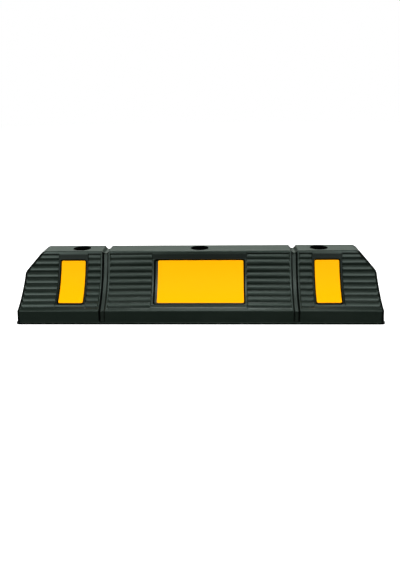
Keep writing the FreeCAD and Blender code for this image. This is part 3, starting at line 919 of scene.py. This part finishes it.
def panels(material):
    tree = laid_tree(laid_inputs(material, 0.0))
    made = []
    for face, turn in (("front", 0.0), ("rear", pi)):
        for place in ("left", "centre", "right"):
            name = f"{face}_{place}_reflector"
            low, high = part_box(name)
            facing = -1 if face == "rear" else 1
            low_x, high_x = sorted((low.x * facing, high.x * facing))
            floor = FACE_RADIUS + RECESS_DEPTH
            foot = face_reach(low.z, floor)
            head = face_reach(high.z, floor - PANEL_THICKNESS)
            panel = add(f"{face}_{place}_panel", panel_blank(low_x, high_x, foot, head))
            shape_with(panel, tree, laid_inputs(material, turn))
            shade(panel.data, 50)
            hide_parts(name)
            made.append(panel)
    return made


# ---------------------------------------------------------------- washers
def washers(material):
    """Stamped washers: the upper edge is rolled by the press and the lower one left sharper."""
    made = []
    for place in ("left", "centre", "right"):
        name = f"{place}_anchor_washer"
        low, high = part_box(name)
        middle, outer = (low.x + high.x) / 2, (high.x - low.x) / 2
        inner = min(mount["dims"]["r_mm"] for mount in frame["record"]["mounts"]
                    if "r_mm" in mount["dims"]) * MM
        soft, crisp = 0.5 * MM, 0.15 * MM
        outside = [(outer - crisp, low.z), (outer, low.z + crisp)]
        inside = [(inner, low.z + crisp), (inner + crisp, low.z)]
        for part in range(4):
            turn = pi / 2 * part / 3
            outside.append((outer - soft + soft * cos(turn), high.z - soft + soft * sin(turn)))
            inside.insert(part, (inner + soft - soft * sin(turn), high.z - soft + soft * cos(turn)))
        profile = outside + inside
        bm = turned([*profile, profile[0]], 64, [middle])
        bmesh.ops.remove_doubles(bm, verts=bm.verts, dist=1e-6)
        mesh = to_mesh(bm, f"{place}_washer")
        mesh.materials.append(material)
        shade(mesh, 40)
        washer = add(f"{place}_washer", mesh)
        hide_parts(name)
        made.append(washer)
    return made


# ---------------------------------------------------------------- materials
# Base colours, linear.
RUBBER = (0.0062, 0.0100, 0.0074)
RUBBER_BLOOM = (0.0084, 0.0126, 0.0096)
RUBBER_DUST = (0.045, 0.047, 0.042)
# Near black: the colour of painted shade.
RUBBER_PAINTED_SHADE = (0.0012, 0.0014, 0.0012)
RUBBER_TINT = (0.80, 1.0, 0.91)  # of its reflections
FILM = (0.95, 0.392, 0.0)
FILM_BEADS = (0.95, 0.366, 0.0)
ZINC = (0.50, 0.51, 0.52)
ZINC_PALE = (0.62, 0.63, 0.64)


def new_material(name):
    material = bpy.data.materials.new(name)
    material.use_nodes = True
    tree = material.node_tree
    return material, tree, tree.nodes["Principled BSDF"]


def noise(tree, scale, detail, stretch=None):
    """A noise value on Object coordinates, stretched along the axes where that is given."""
    spot = tree.nodes.new("ShaderNodeTexCoord").outputs["Object"]
    if stretch:
        spot = node(tree, "ShaderNodeMapping", {"Vector": spot, "Scale": stretch}).outputs[0]
    return Value(tree, node(tree, "ShaderNodeTexNoise",
                            {"Vector": spot, "Scale": scale, "Detail": detail}).outputs[0])


def mixed(tree, share, first, second):
    """A colour between two others, which may be sockets or plain colours."""
    blend = node(tree, "ShaderNodeMix", data_type="RGBA")
    feed(tree, share, blend.inputs["Factor"])
    for socket, colour in (("A", first), ("B", second)):
        target = [item for item in blend.inputs if item.name == socket and item.type == "RGBA"][0]
        feed(tree, colour if isinstance(colour, bpy.types.NodeSocket) else (*colour, 1.0), target)
    return [item for item in blend.outputs if item.type == "RGBA"][0]


def bumped(tree, height, distance, strength, under=None):
    """A bumped normal, on top of another one where that is given."""
    made = node(tree, "ShaderNodeBump",
                {"Height": height, "Distance": distance, "Strength": strength})
    if under is not None:
        feed(tree, under, made.inputs["Normal"])
    return made.outputs[0]


def rubber_material():
    """Black rubber with a green cast: fine moulded grain, bloom in patches, dust in the valleys,
    and painted shade where the mesh says so: near black, rougher, and without reflections."""
    material, tree, shader = new_material("black_rubber")
    hollow, matt = (
        Value(tree, node(tree, "ShaderNodeAttribute", attribute_name=label).outputs["Fac"])
        for label in ("hollow", "matt"))
    patches = noise(tree, 28.0, 4.0, stretch=(0.45, 1.0, 1.0))
    grain = noise(tree, 2600.0, 2.0)
    pebble = noise(tree, 520.0, 3.0)
    bloom = patches.ramp(0.42, 0.68)
    colour = mixed(tree, bloom, RUBBER, RUBBER_BLOOM)
    dusty = (hollow.ramp(0.45, 1.0) * patches.ramp(0.3, 0.7)) * 0.10
    colour = mixed(tree, dusty, colour, RUBBER_DUST)
    # Painted shade: the colour goes near black, the roughness up and the reflections' tint to
    # black.
    matt = matt.most(0.0).least(1.0)
    colour = mixed(tree, matt, colour, RUBBER_PAINTED_SHADE)
    feed(tree, colour, shader.inputs["Base Color"])
    rough = patches * 0.08 + pebble * 0.06 + 0.24
    feed(tree, rough + (0.45 - rough) * matt, shader.inputs["Roughness"])
    shader.inputs["Specular IOR Level"].default_value = 0.5
    feed(tree, mixed(tree, matt, RUBBER_TINT, (0.0, 0.0, 0.0)), shader.inputs["Specular Tint"])
    fine = bumped(tree, grain, 0.02 * MM, 0.5)
    feed(tree, bumped(tree, pebble, 0.06 * MM, 0.5, under=fine), shader.inputs["Normal"])
    return material


def film_material():
    """Yellow reflective film: glass beads under a clear face, slightly wavy where it is laid."""
    material, tree, shader = new_material("reflective_film")
    beads = node(tree, "ShaderNodeTexVoronoi",
                 {"Vector": tree.nodes.new("ShaderNodeTexCoord").outputs["Object"],
                  "Scale": 3200.0})
    sparkle = Value(tree, beads.outputs["Distance"])
    waves = noise(tree, 45.0, 2.0)
    feed(tree, mixed(tree, sparkle.ramp(0.1, 0.7) * 0.5, FILM, FILM_BEADS),
         shader.inputs["Base Color"])
    feed(tree, waves * 0.10 + 0.36, shader.inputs["Roughness"])
    shader.inputs["Specular IOR Level"].default_value = 0.02
    fine = bumped(tree, sparkle, 0.01 * MM, 0.4)
    feed(tree, bumped(tree, waves, 0.10 * MM, 0.6, under=fine), shader.inputs["Normal"])
    return material


def zinc_material():
    """Zinc-plated steel: fine crystal mottling and the washer's rolling marks."""
    material, tree, shader = new_material("zinc_steel")
    crystals = noise(tree, 900.0, 3.0)
    marks = noise(tree, 700.0, 2.0, stretch=(0.05, 1.0, 1.0))
    feed(tree, mixed(tree, crystals.ramp(0.3, 0.7), ZINC, ZINC_PALE), shader.inputs["Base Color"])
    shader.inputs["Metallic"].default_value = 1.0
    feed(tree, crystals * 0.2 + 0.25, shader.inputs["Roughness"])
    feed(tree, bumped(tree, marks, 0.02 * MM, 0.5), shader.inputs["Normal"])
    return material


# ---------------------------------------------------------------- studio
def floor():
    """A pale floor that glows as brightly as the backdrop, and casts nothing on the part."""
    material, tree, shader = new_material("pale_floor")
    shader.inputs["Base Color"].default_value = (0.5, 0.5, 0.5, 1)
    shader.inputs["Roughness"].default_value = 0.9
    shader.inputs["Specular IOR Level"].default_value = 0.0
    shader.inputs["Emission Color"].default_value = (1, 1, 1, 1)
    shader.inputs["Emission Strength"].default_value = 1.0
    bm = bmesh.new()
    bmesh.ops.create_circle(bm, cap_ends=True, segments=96, radius=6.0)
    mesh = to_mesh(bm, "floor")
    mesh.materials.append(material)
    ground = add("floor", mesh)
    ground.visible_glossy = False
    ground.visible_diffuse = False


def world():
    """White to the camera, and nearly dark to everything else."""
    setting = bpy.data.worlds.new("studio")
    bpy.context.scene.world = setting
    setting.use_nodes = True
    tree = setting.node_tree
    tree.nodes.clear()
    seen = node(tree, "ShaderNodeBackground", {"Color": (1, 1, 1, 1), "Strength": 1.0})
    light = node(tree, "ShaderNodeBackground", {"Color": (1, 1, 1, 1), "Strength": 0.02})
    path = tree.nodes.new("ShaderNodeLightPath")
    both = node(tree, "ShaderNodeMixShader")
    feed(tree, path.outputs["Is Camera Ray"], both.inputs[0])
    feed(tree, light.outputs[0], both.inputs[1])
    feed(tree, seen.outputs[0], both.inputs[2])
    feed(tree, both.outputs[0], node(tree, "ShaderNodeOutputWorld").inputs[0])


LIGHT_DISTANCE = 1.6
LIGHT_AIM = Vector((0.0, 0.0, 0.05))


def softbox(name, turn, rise, size, power, colour=(1, 1, 1)):
    """A rectangular soft light: degrees round from the front towards +X, degrees up, its width
    and height in metres, and watts. It isn't seen itself."""
    round_to, up = radians(turn), radians(rise)
    away = Vector((sin(round_to) * cos(up), -cos(round_to) * cos(up), sin(up)))
    data = bpy.data.lights.new(name, "AREA")
    data.shape = "RECTANGLE"
    data.size, data.size_y = size
    data.energy, data.color = power, colour
    lamp = add(name, data)
    lamp.location = LIGHT_AIM + away * LIGHT_DISTANCE
    lamp.rotation_euler = (-away).to_track_quat("-Z", "Y").to_euler()
    lamp.visible_camera = False
    return lamp


def lights():
    """Boxes above and behind draw the top and the ribs' upper edges, tall ones each side of the
    front the rest of the ribs, and low ones behind the rear. The broad fills light the panels
    and don't show as reflections."""
    softbox("top_front", 0, 62, (0.5, 0.5), 5.0)
    softbox("top_back", 180, 62, (0.5, 0.5), 5.2)
    softbox("overhead", 0, 90, (1.05, 0.5), 3.2)
    softbox("back", 180, 26, (2.2, 0.5), 4.9, (0.88, 1.0, 0.90))
    softbox("right_tall", 27, 22, (0.5, 0.8), 5.2)
    softbox("left_tall", -30, 20, (0.5, 0.9), 6.2)
    softbox("right_high", 30, 48, (0.5, 0.5), 1.8)
    softbox("left_high", -30, 48, (0.5, 0.5), 1.7)
    softbox("right_rim", 138, 16, (0.5, 0.5), 2.4)
    softbox("left_rim", -138, 16, (0.5, 0.5), 2.4)
    fills = (("front", 0, 15), ("right", 90, 12), ("rear", 180, 14), ("left", -90, 12))
    for name, turn, power in fills:
        fill = softbox(f"{name}_fill", turn, 35, (2.0, 1.2), power)
        fill.visible_glossy = False


def camera():
    """The view: from the front, a little above, and nearly square to the face."""
    data = bpy.data.cameras.new("camera")
    data.sensor_width = 36.0
    data.lens = 37.95
    place = Vector((34.26, -921.98, 334.08)) * MM
    aim = Vector((1.03, -36.75, 49.0)) * MM
    roll = radians(-0.77)
    facing = (aim - place).to_track_quat("-Z", "Y").to_matrix()
    turn = facing @ Matrix.Rotation(roll, 3, "Z")
    viewer = add("camera", data)
    viewer.matrix_world = Matrix.Translation(place) @ turn.to_4x4()
    bpy.context.scene.camera = viewer


camera()
floor()
world()
lights()
bpy.context.scene.view_settings.view_transform = "Standard"

pieces = [rubber_body(rubber_material())]
pieces += panels(film_material())
pieces += washers(zinc_material())
for piece in pieces:
    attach(piece, "root")
